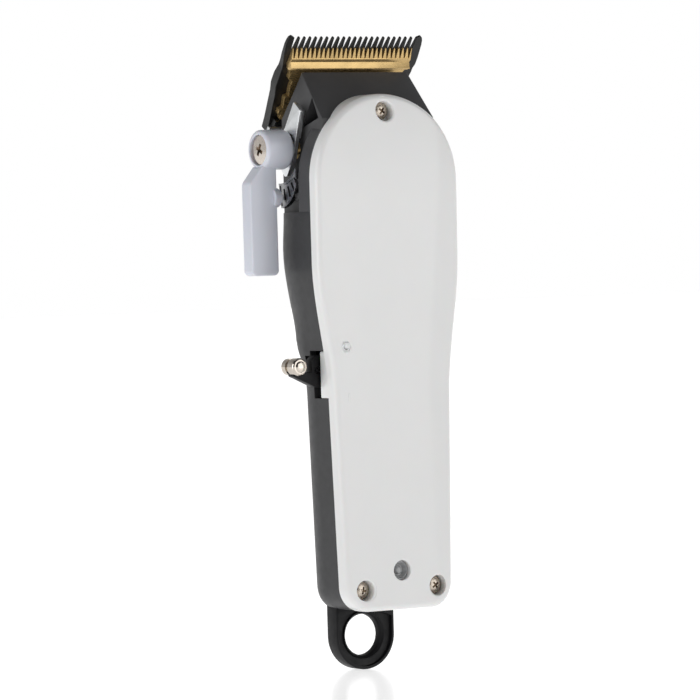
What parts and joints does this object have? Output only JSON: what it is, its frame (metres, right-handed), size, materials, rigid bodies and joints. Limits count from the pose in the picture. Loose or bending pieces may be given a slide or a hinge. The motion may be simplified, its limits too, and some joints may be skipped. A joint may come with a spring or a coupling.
{
  "type": "hair clipper",
  "caption": "Cordless hair clipper with a rounded slim body, leaning comb blades, a side taper lever, a side power switch and a hanging loop.",
  "frame": {"origin": "centre of the hanging loop's eye, on the loop's middle plane", "axes": "+Z along the clipper from the tail to the blades, +Y out of the back through the loop's eye, -Y out of the front cover, +X to the right seen from the front"},
  "size_m": [0.0577, 0.0373, 0.1759],
  "materials": {
    "cover_white": "gloss",
    "housing_grey": "satin",
    "neck_grey": "satin",
    "loop_black": "satin",
    "screw_nickel": "satin",
    "lens_smoke": "gloss",
    "led_clear": "gloss",
    "board_green": "satin",
    "switch_black": "matte",
    "socket_steel": "satin",
    "cell_sleeve": "gloss",
    "tab_nickel": "satin",
    "can_steel": "satin",
    "mount_plastic": "matte",
    "shaft_steel": "gloss",
    "cam_brass": "satin",
    "cutter_gold": "satin",
    "fork_white": "satin",
    "blade_black": "satin",
    "bracket_zinc": "satin",
    "screw_steel": "satin",
    "spring_steel": "gloss",
    "lever_pale": "gloss",
    "pin_steel": "gloss",
    "pivot_nickel": "gloss",
    "insert_brass": "satin",
    "ring_chrome": "gloss",
    "arm_black": "satin",
    "knob_chrome": "gloss"
  },
  "bodies": {
    "housing": {"front_cover": "cover_white", "rear_housing": "housing_grey", "neck_housing": "neck_grey", "hanging_loop": "loop_black", "housing_screws": "screw_nickel", "led_lens": "lens_smoke", "status_led": "led_clear", "circuit_board": "board_green", "slide_switch": "switch_black", "charging_socket": "socket_steel", "battery_cell": "cell_sleeve", "battery_tabs": "tab_nickel", "motor_can": "can_steel", "motor_mount": "mount_plastic", "detent_ring": "ring_chrome", "lever_screw": "pivot_nickel", "pivot_insert": "insert_brass"},
    "motor_rotor": {"motor_shaft": "shaft_steel", "eccentric_cam": "cam_brass"},
    "cutter": {"moving_blade": "cutter_gold", "drive_fork": "fork_white"},
    "taper_slide": {"stationary_blade": "blade_black", "blade_bracket": "bracket_zinc", "blade_screws": "screw_steel", "tension_spring": "spring_steel"},
    "taper_lever": {"taper_lever": "lever_pale", "eccentric_pin": "pin_steel"},
    "power_switch": {"switch_arm": "arm_black", "switch_knob": "knob_chrome"}
  },
  "joints": [
    {"name": "taper_lever", "type": "hinge", "parent": "housing", "child": "taper_lever", "pos_m": [-0.0215, -0.0015, 0.1348], "axis": [-1, 0, 0], "range_deg": [0, 60]},
    {"name": "taper_slide", "type": "slide", "parent": "housing", "child": "taper_slide", "axis": [0, 0.6018, -0.7986], "range_m": [0, 0.003]},
    {"name": "cutter_stroke", "type": "slide", "parent": "housing", "child": "cutter", "axis": [1, 0, 0], "range_m": [0, 0.0024]},
    {"name": "motor_spin", "type": "hinge", "parent": "housing", "child": "motor_rotor", "pos_m": [0, -0.0046, 0.113], "axis": [0, 0, 1], "continuous": true},
    {"name": "power_switch", "type": "slide", "parent": "housing", "child": "power_switch", "axis": [0, 0, -1], "range_m": [0, 0.0028]}
  ],
  "couplings": [
    {"joint": "taper_lever", "follows": "taper_slide", "rad_per_m": 349.07}
  ]
}
